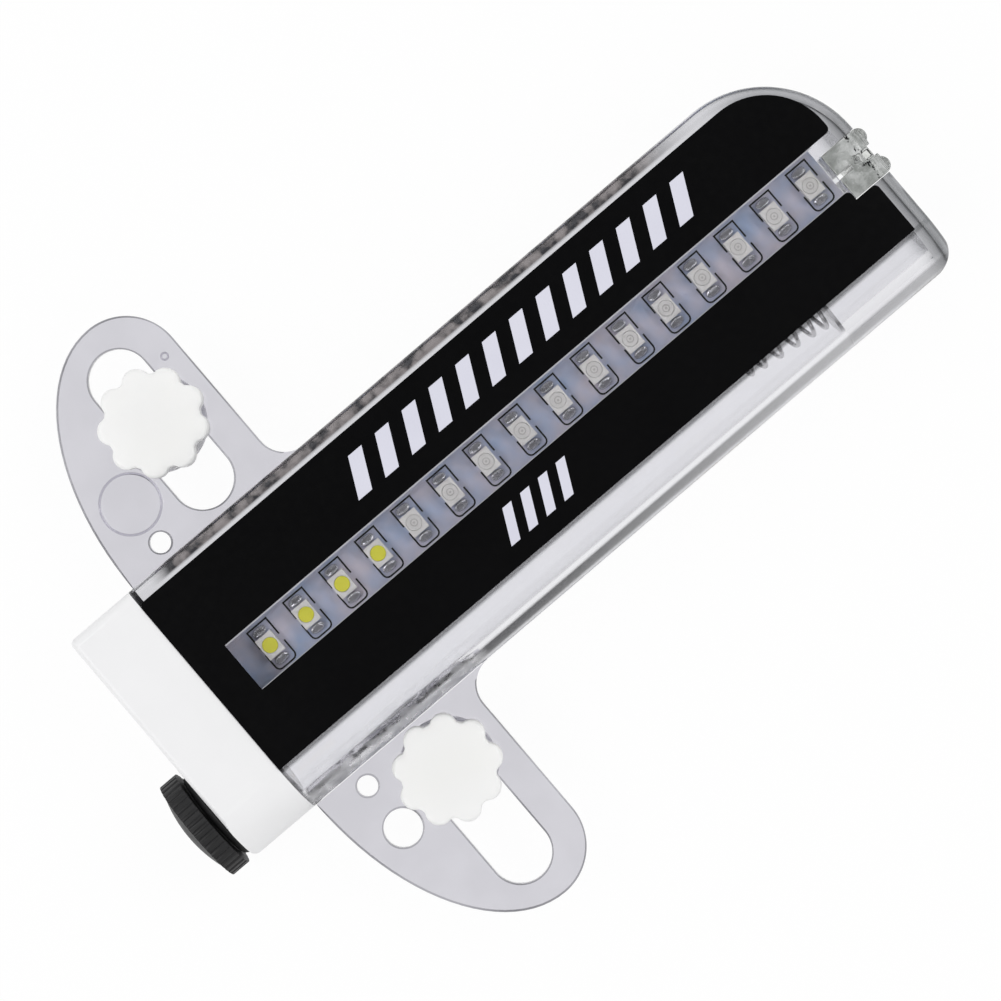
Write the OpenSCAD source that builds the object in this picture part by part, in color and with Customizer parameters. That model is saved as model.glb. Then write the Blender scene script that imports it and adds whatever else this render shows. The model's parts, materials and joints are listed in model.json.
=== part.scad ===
// Spoke wheel light: a clear moulded case that holds a row of small lamps and a
// tube for two battery cells, with a slotted wing on each side. A thumbscrew and
// a jaw in each slot grip the wheel's spokes. A white cap closes the case, and a
// black screw plug closes the battery tube.
//
// The light lies on its back: X runs from the cap to the tip, Y runs across the
// wings and Z points out of the lamp face. The origin is at the centre of the
// underside.

/* [Cells] */
// Diameter of one cell
cell_d = 10.5; // [10:0.1:11]
// Length of one cell
cell_len = 44.5; // [40:0.5:46]
// Number of cells in line
cell_count = 2; // [1:1:2]
// Radial room round the cells
cell_play = 0.4; // [0.3:0.05:0.6]

/* [Lamps] */
// Number of lamps in the row
lamp_count = 16; // [16:1:20]
// Number of white lamps, from the cap end
white_count = 4; // [0:1:8]
// Distance between lamps
lamp_pitch = 6.76; // [6:0.01:8]
// Distance of the first lamp from the mouth of the case
lamp_x = 10.2; // [9:0.1:14]
// Offset of the row from the middle of the case
lamp_y = 1.5; // [0:0.1:3]
// Width of a lamp housing along the row
lamp_w = 2.8; // [2:0.1:3.2]
// Length of a lamp housing across the row
lamp_l = 3.5; // [3:0.1:4]
// Height of a lamp housing
lamp_h = 1.9; // [1:0.1:2.5]
// Diameter of the cup in a lamp housing
lamp_cup_d = 2.35; // [1.5:0.05:2.5]
// Depth of the cup in a lamp housing
lamp_cup_depth = 1.2; // [0.4:0.1:1.5]
// Length of the solder at each end of a lamp
solder_l = 1.5; // [0.8:0.1:1.6]
// Height of the solder against the lamp
solder_h = 0.9; // [0.3:0.05:0.9]
// Height of the solder at its outer end
solder_toe = 0.2; // [0.1:0.05:0.3]

/* [Case] */
// Width of the case
case_w = 40.4; // [39:0.1:46]
// Wall of the battery tube
tube_wall = 2.55; // [2.2:0.05:3]
// Wall of the front and rear faces
face_wall = 1.8; // [1.2:0.1:2.4]
// Wall along the upper side and the tip
side_wall = 2.7; // [2.2:0.1:3]
// Wall between the battery tube and the board
divider_t = 1.6; // [1.2:0.1:2]
// Rounding of the outer edges
edge_r = 1.5; // [1:0.1:2.6]
// Corner radius of the tip on the lamp side, seen from the front
tip_r = 16.1; // [12:0.1:18]
// Corner radius of the tip on the battery side, seen from the front
tube_corner_r = 4.1; // [3:0.1:5]
// Length of the clear tip beyond the board
tip_len = 6.4; // [5:0.1:8]

/* [Tip plug] */
// Width of the tip plug
tip_plug_w = 7.8; // [7.6:0.1:8.4]
// Offset of the tip plug from the middle of the case
tip_plug_y = -0.3; // [-1:0.1:0]
// Distance between the two lobes of the tip plug
lobe_gap = 5.2; // [4.2:0.1:5.6]
// Radius of a lobe
lobe_r = 1.3; // [1:0.1:1.5]
// How far the lobes stand past the tip
lobe_reach = 1.1; // [0.6:0.1:1.4]
// How far the web between the lobes stands past the tip
web_reach = 0.5; // [0.2:0.1:0.6]
// Width of the channel between the lobes
channel_w = 1.7; // [1:0.1:2.4]
// Length of the channel, from the tip inwards
channel_l = 1.5; // [1:0.1:3]
// Width of the slit at the inner end of the tip plug
slit_w = 0.7; // [0.4:0.1:1]
// Length of the slit at the inner end of the tip plug
slit_l = 2.4; // [1:0.1:3]

/* [End cap] */
// Length of the end cap
cap_len = 11.1; // [9:0.1:14]
// Rounding of the cap's end
cap_edge_r = 1; // [0.4:0.1:2]
// Wall of the end cap
cap_wall = 2; // [1.4:0.1:2.6]
// Depth of the cap's spigot in the case
spigot_l = 4; // [2:0.1:4.2]
// Wall of the spigot
spigot_wall = 1.4; // [1:0.1:2]

/* [Battery plug] */
// Diameter of the grip rim
grip_d = 16.4; // [14:0.1:16.4]
// Length of the grip rim
grip_l = 2.9; // [2:0.1:5]
// Number of ribs round the grip rim
grip_ribs = 40; // [20:2:48]
// Radius of the grooves between the ribs
grip_groove_r = 0.35; // [0.2:0.05:0.45]
// Height of the domed end
dome_h = 1.4; // [0.5:0.1:2]
// Width of the shoulder round the dome
dome_shoulder = 0.8; // [0.4:0.1:2]
// Diameter of the gasket against the cap
gasket_d = 14.8; // [14:0.1:15.4]
// How much narrower the gasket is at the plug
gasket_taper = 1.2; // [0.4:0.1:1.6]
// Thickness of the gasket
gasket_t = 1.1; // [0.6:0.1:2]
// Diameter of the screwed neck
neck_d = 12.1; // [11.9:0.1:12.6]
// Radial room round the screwed neck
neck_play = 0.15; // [0.1:0.05:0.3]
// Reach of the contact inside the mouth of the case
nose_reach = 0.4; // [0.2:0.1:2]

/* [Contacts] */
// Thickness of the contact metal
contact_t = 0.5; // [0.3:0.05:0.6]
// Width of the contact tabs
tab_w = 2.8; // [2:0.1:3.2]
// Length of the strip beside the plug
strip_l = 7.9; // [7:0.1:10]
// Thickness of the strip
strip_t = 0.3; // [0.2:0.05:0.4]

/* [Spring] */
// Free length of the spring
spring_len = 14.6; // [12:0.1:16]
// Length of the spring with the cells in place
spring_loaded = 12.1; // [9:0.1:13]
// Outer diameter of the spring's base
spring_base_d = 8.1; // [7:0.1:9]
// Outer diameter of the spring's free end
spring_end_d = 3.8; // [3.2:0.1:5]
// Diameter of the wire
wire_d = 0.65; // [0.5:0.05:0.7]
// Number of turns
spring_turns = 6; // [5:1:7]

/* [Board] */
// Thickness of the board
board_t = 1.6; // [1:0.1:2]
// Depth of the grooves that hold the board's edges
board_groove = 0.4; // [0.3:0.05:0.6]
// Room round the board in its grooves
board_play = 0.12; // [0.05:0.01:0.2]

/* [Board pieces] */
// Length of the controller chip
chip_l = 9.9; // [8:0.1:12]
// Width of the controller chip
chip_w = 3.9; // [3:0.1:6]
// Height of the controller chip
chip_h = 1.6; // [1:0.1:2.5]
// Pins along each side of the chip
chip_pins_side = 8; // [4:1:8]
// Width of a pin
pin_w = 0.45; // [0.3:0.05:0.6]
// Thickness of a pin
pin_t = 0.2; // [0.15:0.05:0.3]
// Reach of a pin from the side of the chip
pin_reach = 1.1; // [0.8:0.1:1.4]
// Length of a resistor
resistor_l = 2; // [1.6:0.1:3.2]
// Width of a resistor
resistor_w = 1.25; // [0.8:0.05:1.6]
// Height of a resistor
resistor_h = 0.55; // [0.3:0.05:0.8]
// Diameter of the motion switch
switch_d = 4.2; // [3:0.1:5]
// Length of the motion switch
switch_l = 9.5; // [6:0.1:14]
// Diameter of the motion switch's leads
lead_d = 0.6; // [0.4:0.05:0.8]
// Reach of the leads past the ends of the motion switch
lead_l = 2; // [1:0.1:3]
// Gap between the lamp row and the chip and switch beside it
piece_gap = 2; // [1.5:0.1:4]
// Distance between the two rows of resistors
resistor_step = 3; // [2.5:0.1:4]

/* [Label] */
// Thickness of the film
label_t = 0.2; // [0.1:0.05:0.4]
// Distance of the film from the upper side
label_inset = 2.4; // [2:0.1:4]
// Distance of the film from the tip
label_end_inset = 2.7; // [2.5:0.1:4]
// Corner radius of the film at the tip
label_corner_r = 10.6; // [8:0.1:13]
// How far the film runs past the battery axis
label_overlap = 0.9; // [0:0.1:1.5]
// Height of the lamp window
window_h = 8.2; // [7.6:0.1:10]
// Length of the window beyond the lamps at the cap end
window_lead = 4.6; // [3:0.1:6]

/* [Wings] */
// Thickness of the wings
wing_t = 2.2; // [1.6:0.1:3]
// Reach of the wings from the side of the case
wing_reach = 32.7; // [32:0.1:40]
// Distance of the wing's farthest point from the mouth of the case
wing_peak_x = 19.4; // [18:0.1:22]
// Radius of the corner between the farthest point and the straight edge
wing_corner_r = 8.6; // [7.6:0.1:10]
// Distance of the wing's root from the mouth of the case
wing_root_x = 0.3; // [0.3:0.1:2]
// Radius of the fillet at the root
wing_fillet_r = 4.5; // [2:0.1:6]
// Depth of the wing's tongue in the case
tongue_l = 0.8; // [0.4:0.1:0.8]
// Room round the tongue
tongue_play = 0.08; // [0.05:0.01:0.15]
// Distance of the slot's middle from the mouth of the case
slot_x = 18.2; // [17.6:0.1:19.4]
// Width of the slot
slot_w = 9.1; // [8.6:0.1:10]
// Length of the slot
slot_len = 27.4; // [26:0.1:34]
// Distance of the slot from the side of the case
slot_in = 1.3; // [1:0.1:2]
// Diameter of the tie hole
tie_hole_d = 3.1; // [2:0.1:4]
// Distance of the tie hole from the side of the case
tie_hole_in = 2.7; // [2.2:0.1:4]
// Diameter of the hang hole
hang_hole_d = 5.7; // [4:0.1:6]
// Distance of the hang hole from the side of the case
hang_hole_in = 10.6; // [10:0.1:14]
// Distance of the holes from the mouth of the case
hole_x = 7.6; // [7.2:0.1:8]

/* [Clamps] */
// Diameter over the lobes of a thumbscrew
knob_d = 16.1; // [14:0.1:16.4]
// Number of lobes round a thumbscrew
knob_lobes = 9; // [6:1:12]
// Depth of the scallops between the lobes
knob_scallop = 1.15; // [0.6:0.05:1.5]
// Height of a thumbscrew's head
knob_h = 5; // [3:0.1:6]
// Bevel round the top of the head
knob_bevel = 0.5; // [0.3:0.1:1]
// Diameter of a thumbscrew's stem
stem_d = 6; // [5:0.1:6.4]
// Radial room round the stem
stem_play = 0.15; // [0.1:0.05:0.3]
// Length of the stem below the head
stem_l = 9.4; // [8:0.1:9.8]
// Diameter of the washer
washer_d = 13.4; // [11:0.1:13.6]
// Thickness of the washer
washer_t = 0.6; // [0.4:0.1:1]
// Diameter of the jaw
jaw_d = 14.4; // [14.2:0.1:15.6]
// Thickness of the jaw
jaw_t = 3.2; // [2.6:0.1:3.6]
// Gap between the jaw and the wing
jaw_gap = 1.25; // [1.15:0.05:1.5]
// Corner radius of the jaw's key in the slot
key_r = 2.5; // [1:0.1:3]
// Room on each side of the key in the slot
key_play = 0.15; // [0.1:0.05:0.3]
// Reach of the key into the slot
key_reach = 1.4; // [1.2:0.1:1.4]
// Diameter of the spoke groove
spoke_d = 2.1; // [1.8:0.1:2.3]
// Distance of the upper clamp from the side of the case
upper_clamp_in = 16.3; // [8.5:0.1:21]
// Distance of the lower clamp from the side of the case
lower_clamp_in = 8.3; // [8.3:0.1:21]
// Turn of the upper thumbscrew
upper_turn = 32.5; // [0:0.5:40]
// Turn of the lower thumbscrew
lower_turn = 17; // [0:0.5:40]

/* [Hidden] */

$fn = 64;
// Overlap of a cutting shape past the face that it cuts
cut = 1;
// Room between pieces that are bonded together
bond = 0.1;
// Room between a piece that slides or turns and the face beside it
slip = 0.05;

// Battery tube
bore_r = cell_d / 2 + cell_play;
tube_r = bore_r + tube_wall;
side_y = case_w / 2;
tube_y = tube_r - side_y;
bay_depth = nose_reach + cell_count * cell_len + spring_loaded + contact_t;
// Ledge that the spring plate rests on
plate_ledge = 1.05;

// Lamp row, board and case
row_end = lamp_x + (lamp_count - 1) * lamp_pitch;
// Length of the board past the last lamp
board_lead = 3.1;
board_end = row_end + board_lead;
case_len = board_end + tip_len;
// Gap between the cap's spigot and the board
spigot_gap = 0.4;
board_start = spigot_l + spigot_gap;
corner_x = case_len - tip_r;
corner_y = side_y - tip_r;
chamber_h = 2 * (tube_r - face_wall);
chamber_y0 = tube_y + bore_r + divider_t;
chamber_y1 = side_y - side_wall;
board_top = board_t / 2;
lamp_stop = lamp_y + lamp_l / 2 + solder_l;

// Tip plug
plug_seat_x = board_end + bond;
tip_plug_y0 = tip_plug_y - tip_plug_w / 2;
// Half height of the lobes
lobe_half_h = tube_r - edge_r;
// Thickness of the web behind the channel
channel_web = 4;

// Battery plug, measured from the outer face of the cap
cap_face = -cap_len;
gasket_face = cap_face - gasket_t;
// Gap between the gasket and the grip rim
rim_gap = 0.2;
rim_face = gasket_face - rim_gap;
rim_end = rim_face - grip_l;
dome_base_r = grip_d / 2 - dome_shoulder;
dome_sphere_r = (dome_base_r * dome_base_r + dome_h * dome_h) / (2 * dome_h);
// Distance of the neck's end and of the contact cup from the mouth of the case
neck_end = -1.2;
cup_start = -0.8;
// Room between the contact cup and the tube, and between the cup and the nose
cup_play = 0.3;
nose_play = 0.05;
cup_r = bore_r - cup_play;
cup_wall = 0.35;
nose_r = cup_r - cup_wall - nose_play;
// Start of the strip beside the cup, and the room between them
strip_start = -0.7;
strip_play = 0.15;
strip_r = cup_r + strip_play;
// Length of the strip's tab, and the room round the contacts in the case
tab_l = 3;
tab_play = 0.2;

// Wings and clamps
wing_edge_x = wing_peak_x + wing_corner_r;
slot_r = slot_w / 2;
// Distance of the tongue's ends from the ends of the wing's root
tongue_inset = 1.1;
// Steps along each curve of the wing's outline
curve_steps = 24;
upper_clamp_y = side_y + upper_clamp_in;
lower_clamp_y = side_y + lower_clamp_in;
knob_r = knob_d / 2;
// Radius of one lobe and of the disc between the lobes
knob_lobe_r = 2;
knob_core_r = knob_r - knob_scallop;
knob_seat = wing_t / 2 + slip + washer_t;
jaw_face = -wing_t / 2 - jaw_gap;
key_half = slot_r - key_play;
// Distance between the key and a spoke beside it
spoke_gap = 0.15;
groove_y = key_half + spoke_d / 2 + spoke_gap;
// Bevel round the rear of a jaw
jaw_bevel = 0.6;

// Place of the part in its own frame
dome_x = rim_end - dome_h;
lobe_x = case_len + lobe_reach;
middle_x = (dome_x + lobe_x) / 2;

module place() {
    translate([-middle_x, 0, tube_r]) children();
}

// A flat outline in Y and Z, drawn out along X from x0 to x1
module along_x(x0, x1) {
    translate([x0, 0, 0]) rotate([90, 0, 90]) linear_extrude(x1 - x0) children();
}

// A profile of radius and length, turned about the battery axis
module about_battery_axis(x0 = 0) {
    translate([x0, tube_y, 0]) rotate([0, 90, 0]) rotate_extrude() children();
}

module rod_x(r, x0, x1, y = tube_y, z = 0) {
    translate([x0, y, z]) rotate([0, 90, 0]) cylinder(r = r, h = x1 - x0);
}

module block(x0, x1, y0, y1, z0, z1) {
    translate([x0, y0, z0]) cube([x1 - x0, y1 - y0, z1 - z0]);
}

// Section of the case and the cap: round on the battery side, square with
// rounded edges on the other
module body_section() {
    translate([tube_y, 0]) circle(r = tube_r);
    translate([tube_y, -tube_r]) square([side_y - edge_r - tube_y, 2 * tube_r]);
    translate([tube_y, edge_r - tube_r]) square([side_y - tube_y, 2 * (tube_r - edge_r)]);
    for (s = [-1, 1])
        translate([side_y - edge_r, s * (tube_r - edge_r)]) circle(r = edge_r);
}

// Rim of the tip, from a middle line out to its rounded edges
module rim_section(reach) {
    translate([0, -tube_r]) square([reach - edge_r, 2 * tube_r]);
    translate([0, edge_r - tube_r]) square([reach, 2 * (tube_r - edge_r)]);
    for (s = [-1, 1])
        translate([reach - edge_r, s * (tube_r - edge_r)]) circle(r = edge_r);
}

// End of the battery tube, turned about the battery axis
module tube_end_section() {
    square([tube_r, tip_r - edge_r]);
    square([tube_r - edge_r, tip_r]);
    translate([tube_r - edge_r, tip_r - edge_r]) circle(r = edge_r);
}

module case_outside() {
    along_x(0, corner_x) body_section();
    translate([corner_x, corner_y, 0]) rotate_extrude(angle = 90) rim_section(tip_r);
    translate([corner_x, corner_y, 0]) rotate([90, 0, 0])
        linear_extrude(corner_y - tube_y) rim_section(tip_r);
    about_battery_axis(corner_x) tube_end_section();
}

// Outline of the board chamber, seen from the front
module chamber_outline(x0, grow = 0) {
    translate([x0, chamber_y0 - grow])
        square([corner_x - x0, chamber_y1 - chamber_y0 + 2 * grow]);
    translate([corner_x - cut, chamber_y0 - grow])
        square([tip_r - side_wall + grow + cut, corner_y - chamber_y0 + grow]);
    translate([corner_x, corner_y]) quarter_disc(tip_r - side_wall + grow);
}

module quarter_disc(r) {
    intersection() {
        circle(r = r);
        translate([-cut, -cut]) square(r + 2 * cut);
    }
}

module battery_hollow() {
    rod_x(bore_r, -cut, bay_depth);
    rod_x(bore_r - plate_ledge, bay_depth - cut, case_len - side_wall);
    // Ways for the two contact tabs to reach the board
    block(-cut, strip_start + strip_l + tab_play, tube_y, chamber_y0 + slip,
          -tab_w / 2 - tab_play, tab_w / 2 + tab_play);
    block(bay_depth - contact_t - tab_play, bay_depth, tube_y, chamber_y0 + slip,
          -tab_w / 2 - tab_play, tab_w / 2 + tab_play);
}

module wing_groove() {
    block(wing_root_x + tongue_inset - tongue_play,
          wing_edge_x + wing_fillet_r - tongue_inset + tongue_play,
          side_y - tongue_l - tongue_play, side_y + cut,
          -wing_t / 2 - tongue_play, wing_t / 2 + tongue_play);
}

// What is trimmed off the corner at the end of the battery tube
module tube_corner_trim() {
    corner_c = [case_len - tube_corner_r + slip, tube_corner_r - side_y - slip];
    translate([0, 0, -tube_r - cut]) linear_extrude(2 * (tube_r + cut)) difference() {
        translate([corner_c.x, -side_y - cut]) square(tube_corner_r + cut);
        translate(corner_c) circle(r = tube_corner_r);
    }
}

module case() {
    color([0.82, 0.83, 0.86, 0.45]) place() difference() {
        case_outside();
        tube_corner_trim();
        translate([0, 0, -chamber_h / 2]) linear_extrude(chamber_h) chamber_outline(-cut);
        translate([0, 0, -board_top - board_play])
            linear_extrude(board_t + 2 * board_play) chamber_outline(-cut, board_groove);
        battery_hollow();
        wing_groove();
        mirror([0, 1, 0]) wing_groove();
        block(plug_seat_x, case_len + cut, tip_plug_y0 - bond, tip_plug_y0 + tip_plug_w + bond,
              -tube_r - cut, tube_r + cut);
    }
}

// Points along an ellipse with the half axes r.x and r.y, from angle a0 to a1;
// first = 1 leaves out the start point, where it ends the curve before
function curve(c, r, a0, a1, first = 0) =
    [for (i = [first:curve_steps])
        let (a = a0 + (a1 - a0) * i / curve_steps) c + [r.x * cos(a), r.y * sin(a)]];

// Outline of a wing, measured out from the side of the case: a quarter ellipse
// up to its farthest point, a rounded corner, a straight edge, a root fillet and
// a tongue that sits in the case's groove
module wing_outline() {
    corner_c = [wing_peak_x, wing_reach - wing_corner_r];
    fillet_c = [wing_edge_x + wing_fillet_r, wing_fillet_r];
    tongue_x0 = wing_root_x + tongue_inset;
    tongue_x1 = fillet_c.x - tongue_inset;
    tongue_end = -tongue_l - slip;
    polygon(concat(
        curve([wing_peak_x, 0], [wing_peak_x - wing_root_x, wing_reach], 180, 90),
        curve(corner_c, [wing_corner_r, wing_corner_r], 90, 0, 1),
        curve(fillet_c, [wing_fillet_r, wing_fillet_r], 180, 270),
        [[tongue_x1, 0], [tongue_x1, tongue_end], [tongue_x0, tongue_end], [tongue_x0, 0]]
    ));
}

module wing_slot() {
    v0 = slot_in + slot_r;
    v1 = slot_in + slot_len - slot_r;
    translate([slot_x, v0]) circle(r = slot_r);
    translate([slot_x, v1]) circle(r = slot_r);
    translate([slot_x - slot_r, v0]) square([slot_w, v1 - v0]);
}

module wing(has_hang_hole) {
    translate([0, side_y + slip, -wing_t / 2]) linear_extrude(wing_t) difference() {
        wing_outline();
        wing_slot();
        translate([hole_x, tie_hole_in]) circle(d = tie_hole_d);
        if (has_hang_hole)
            translate([hole_x, hang_hole_in]) circle(d = hang_hole_d);
    }
}

module upper_wing() {
    color([0.80, 0.80, 0.83, 0.6]) place() wing(false);
}

module lower_wing() {
    color([0.80, 0.80, 0.83, 0.6]) place() mirror([0, 1, 0]) wing(true);
}

// Block that fills the notch in the tip, with two lobes, a web, a channel and a slit
module tip_plug() {
    y0 = tip_plug_y0;
    y1 = tip_plug_y0 + tip_plug_w;
    color([0.75, 0.75, 0.73, 0.6]) place() difference() {
        union() {
            intersection() {
                translate([corner_x, y1, 0]) rotate([90, 0, 0])
                    linear_extrude(tip_plug_w) rim_section(tip_r);
                block(plug_seat_x + bond, case_len + cut, y0, y1, -tube_r, tube_r);
            }
            for (s = [-1, 1])
                translate([lobe_x - lobe_r, tip_plug_y + s * lobe_gap / 2, -lobe_half_h])
                    cylinder(r = lobe_r, h = 2 * lobe_half_h);
            block(case_len - cut, case_len + web_reach, tip_plug_y - lobe_gap / 2,
                  tip_plug_y + lobe_gap / 2, -lobe_half_h, lobe_half_h);
        }
        for (s = [0, 1]) mirror([0, 0, s])
            block(case_len - channel_l, lobe_x + cut, tip_plug_y - channel_w / 2,
                  tip_plug_y + channel_w / 2, channel_web / 2, tube_r + cut);
        block(plug_seat_x, plug_seat_x + bond + slit_l, tip_plug_y - slit_w / 2,
              tip_plug_y + slit_w / 2, -tube_r - cut, tube_r + cut);
    }
}

// Side view of the cap with rounded corners at its end, half a width each way
module cap_profile(half_w) {
    translate([-cap_len, cap_edge_r - half_w]) square([cap_len, 2 * (half_w - cap_edge_r)]);
    translate([cap_edge_r - cap_len, -half_w]) square([cap_len - cap_edge_r, 2 * half_w]);
    for (s = [-1, 1])
        translate([cap_edge_r - cap_len, s * (half_w - cap_edge_r)]) circle(r = cap_edge_r);
}

// Cap of the same section as the case, hollow towards the board, with a spigot
// in the board chamber and a screwed bore for the plug
module end_cap() {
    spigot_y0 = chamber_y0 + bond;
    spigot_y1 = chamber_y1 - bond;
    spigot_z = chamber_h / 2 - bond;
    color([0.94, 0.94, 0.94]) place() difference() {
        union() {
            intersection() {
                along_x(-cap_len, 0) body_section();
                translate([0, 0, -tube_r]) linear_extrude(2 * tube_r) cap_profile(side_y);
                translate([0, side_y, 0]) rotate([90, 0, 0])
                    linear_extrude(case_w) cap_profile(tube_r);
            }
            block(-cut, spigot_l, spigot_y0, spigot_y1, -spigot_z, spigot_z);
        }
        block(cap_wall - cap_len, spigot_l + cut, spigot_y0 + spigot_wall, spigot_y1 - spigot_wall,
              spigot_wall - spigot_z, spigot_z - spigot_wall);
        rod_x(neck_d / 2 + neck_play, -cap_len - cut, cut);
    }
}

module label_outline() {
    end_x = case_len - label_end_inset;
    top_y = side_y - label_inset;
    low_y = tube_y - label_overlap;
    corner_c = [end_x - label_corner_r, top_y - label_corner_r];
    translate([slip, low_y]) square([corner_c.x - slip, top_y - low_y]);
    translate([corner_c.x - cut, low_y]) square([label_corner_r + cut, corner_c.y - low_y]);
    translate(corner_c) quarter_disc(label_corner_r);
}

module front_label() {
    window_x = lamp_x - window_lead;
    color([0.05, 0.05, 0.05]) place() translate([0, 0, tube_r]) linear_extrude(label_t)
        difference() {
            label_outline();
            translate([window_x, lamp_y - window_h / 2])
                square([case_len - window_x, window_h]);
            translate([plug_seat_x, tip_plug_y0 - bond]) square([tip_len, tip_plug_w + 2 * bond]);
        }
}

module led_board() {
    color([0.66, 0.69, 0.76]) place() translate([0, 0, -board_top]) linear_extrude(board_t)
        intersection() {
            chamber_outline(board_start, board_groove - board_play);
            translate([board_start, -side_y]) square([board_end - board_start, case_w]);
        }
}

// Stations of the lamps first to last along the row
module at_lamps(first, last) {
    for (i = [first:1:last])
        translate([lamp_x + i * lamp_pitch, lamp_y, board_top]) children();
}

module lamp_housings() {
    color([0.84, 0.83, 0.81]) place() at_lamps(0, lamp_count - 1) difference() {
        block(-lamp_w / 2, lamp_w / 2, -lamp_l / 2, lamp_l / 2, 0, lamp_h);
        translate([0, 0, lamp_h - lamp_cup_depth]) cylinder(d = lamp_cup_d, h = lamp_cup_depth + cut);
    }
}

// Clear or coloured resin that fills the cup of a lamp
module lamp_fill() {
    fill_h = lamp_cup_depth - slip;
    translate([0, 0, lamp_h - lamp_cup_depth]) cylinder(d = lamp_cup_d - 2 * slip, h = fill_h);
}

module white_lamp_fills() {
    color([0.78, 0.77, 0.25]) place() at_lamps(0, white_count - 1) lamp_fill();
}

module colour_lamp_fills() {
    color([0.72, 0.72, 0.72]) place() at_lamps(white_count, lamp_count - 1) lamp_fill();
}

// Sloping solder at both ends of each lamp
module lamp_solder() {
    solder_w = lamp_w - 2 * bond;
    color([0.75, 0.76, 0.78]) place() at_lamps(0, lamp_count - 1) for (s = [0, 1])
        mirror([0, s, 0]) along_x(-solder_w / 2, solder_w / 2) polygon([
            [lamp_l / 2, 0],
            [lamp_l / 2 + solder_l, 0],
            [lamp_l / 2 + solder_l, solder_toe],
            [lamp_l / 2, solder_h]
        ]);
}

// Chip on the rear of the board, beside this lamp
chip_lamp = 4;
chip_x = lamp_x + chip_lamp * lamp_pitch;
chip_y = lamp_stop + piece_gap + chip_w / 2;
// Room between the chip and the board
chip_stand = 0.1;
chip_base = -board_top - chip_stand;

module controller_chip() {
    color([0.08, 0.08, 0.09]) place()
        block(chip_x - chip_l / 2, chip_x + chip_l / 2, chip_y - chip_w / 2, chip_y + chip_w / 2,
              chip_base - chip_h, chip_base);
}

module chip_pins() {
    pin_pitch = chip_l / chip_pins_side;
    knee = chip_h / 2;
    color([0.75, 0.76, 0.78]) place()
        for (s = [0, 1], i = [0:chip_pins_side - 1])
            translate([chip_x + (i - (chip_pins_side - 1) / 2) * pin_pitch - pin_w / 2, chip_y, 0])
                mirror([0, s, 0]) translate([0, chip_w / 2, 0]) {
                    block(0, pin_w, 0, pin_reach / 2, chip_base - knee, chip_base - knee + pin_t);
                    block(0, pin_w, pin_reach / 2 - pin_t, pin_reach / 2, chip_base - knee, -board_top);
                    block(0, pin_w, pin_reach / 2 - pin_t, pin_reach, -board_top - pin_t, -board_top);
                }
}

// One resistor behind each lamp, in two staggered rows
module chip_resistors() {
    color([0.12, 0.12, 0.14]) place() for (i = [0:lamp_count - 1])
        translate([lamp_x + i * lamp_pitch, lamp_y - (i % 2) * resistor_step, -board_top])
            block(-resistor_w / 2, resistor_w / 2, -resistor_l / 2, resistor_l / 2, -resistor_h, 0);
}

// Rolling-ball switch that wakes the light when the wheel turns, beside this lamp
switch_lamp = 10;
switch_x = lamp_x + switch_lamp * lamp_pitch;
switch_y = lamp_stop + piece_gap + switch_d / 2;
switch_z = -board_top - switch_d / 2 - bond;

module motion_switch() {
    color([0.80, 0.72, 0.45]) place()
        rod_x(switch_d / 2, switch_x - switch_l / 2, switch_x + switch_l / 2, switch_y, switch_z);
}

module switch_leads() {
    color([0.78, 0.78, 0.80]) place() for (s = [-1, 1]) {
        knee_x = switch_x + s * (switch_l / 2 + lead_l);
        x0 = min(knee_x, switch_x + s * switch_l / 2);
        rod_x(lead_d / 2, x0, x0 + lead_l, switch_y, switch_z);
        translate([knee_x, switch_y, switch_z]) sphere(d = lead_d);
        translate([knee_x, switch_y, switch_z]) cylinder(d = lead_d, h = -board_top - switch_z);
    }
}

// Cone-shaped spring: its pitch is closest at the two ends, and its wire runs
// straight for one wire diameter at each end
spring_base_x = bay_depth - contact_t;
// Rings of points along one turn, and along the whole wire
turn_rings = 8;
spring_rings = turn_rings * spring_turns;
spring_base_r = (spring_base_d - wire_d) / 2;
spring_end_r = (spring_end_d - wire_d) / 2;
spring_travel = spring_len - wire_d;
// Share of the pitch that is even along the spring
even_pitch = 0.55;

function spring_rise(u) = even_pitch * u + (1 - even_pitch) * (3 * u * u - 2 * u * u * u);
function spring_point(i) =
    let (u = i / spring_rings,
         r = spring_base_r + (spring_end_r - spring_base_r) * u,
         a = 360 * spring_turns * u)
    [spring_base_x - wire_d / 2 - spring_travel * spring_rise(u), tube_y + r * cos(a), r * sin(a)];
function unit(v) = v / norm(v);
function spring_heading(i) =
    unit(spring_point(min(i + 1, spring_rings)) - spring_point(max(i - 1, 0)));

wire_sides = 6;
function wire_ring(centre, heading) =
    let (out = unit([0, centre.y - tube_y, centre.z]),
         side = unit(cross(heading, out)),
         up = cross(side, heading))
    [for (k = [0:wire_sides - 1])
        let (a = 360 * k / wire_sides)
        centre + wire_d / 2 * (cos(a) * up + sin(a) * side)];

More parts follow.
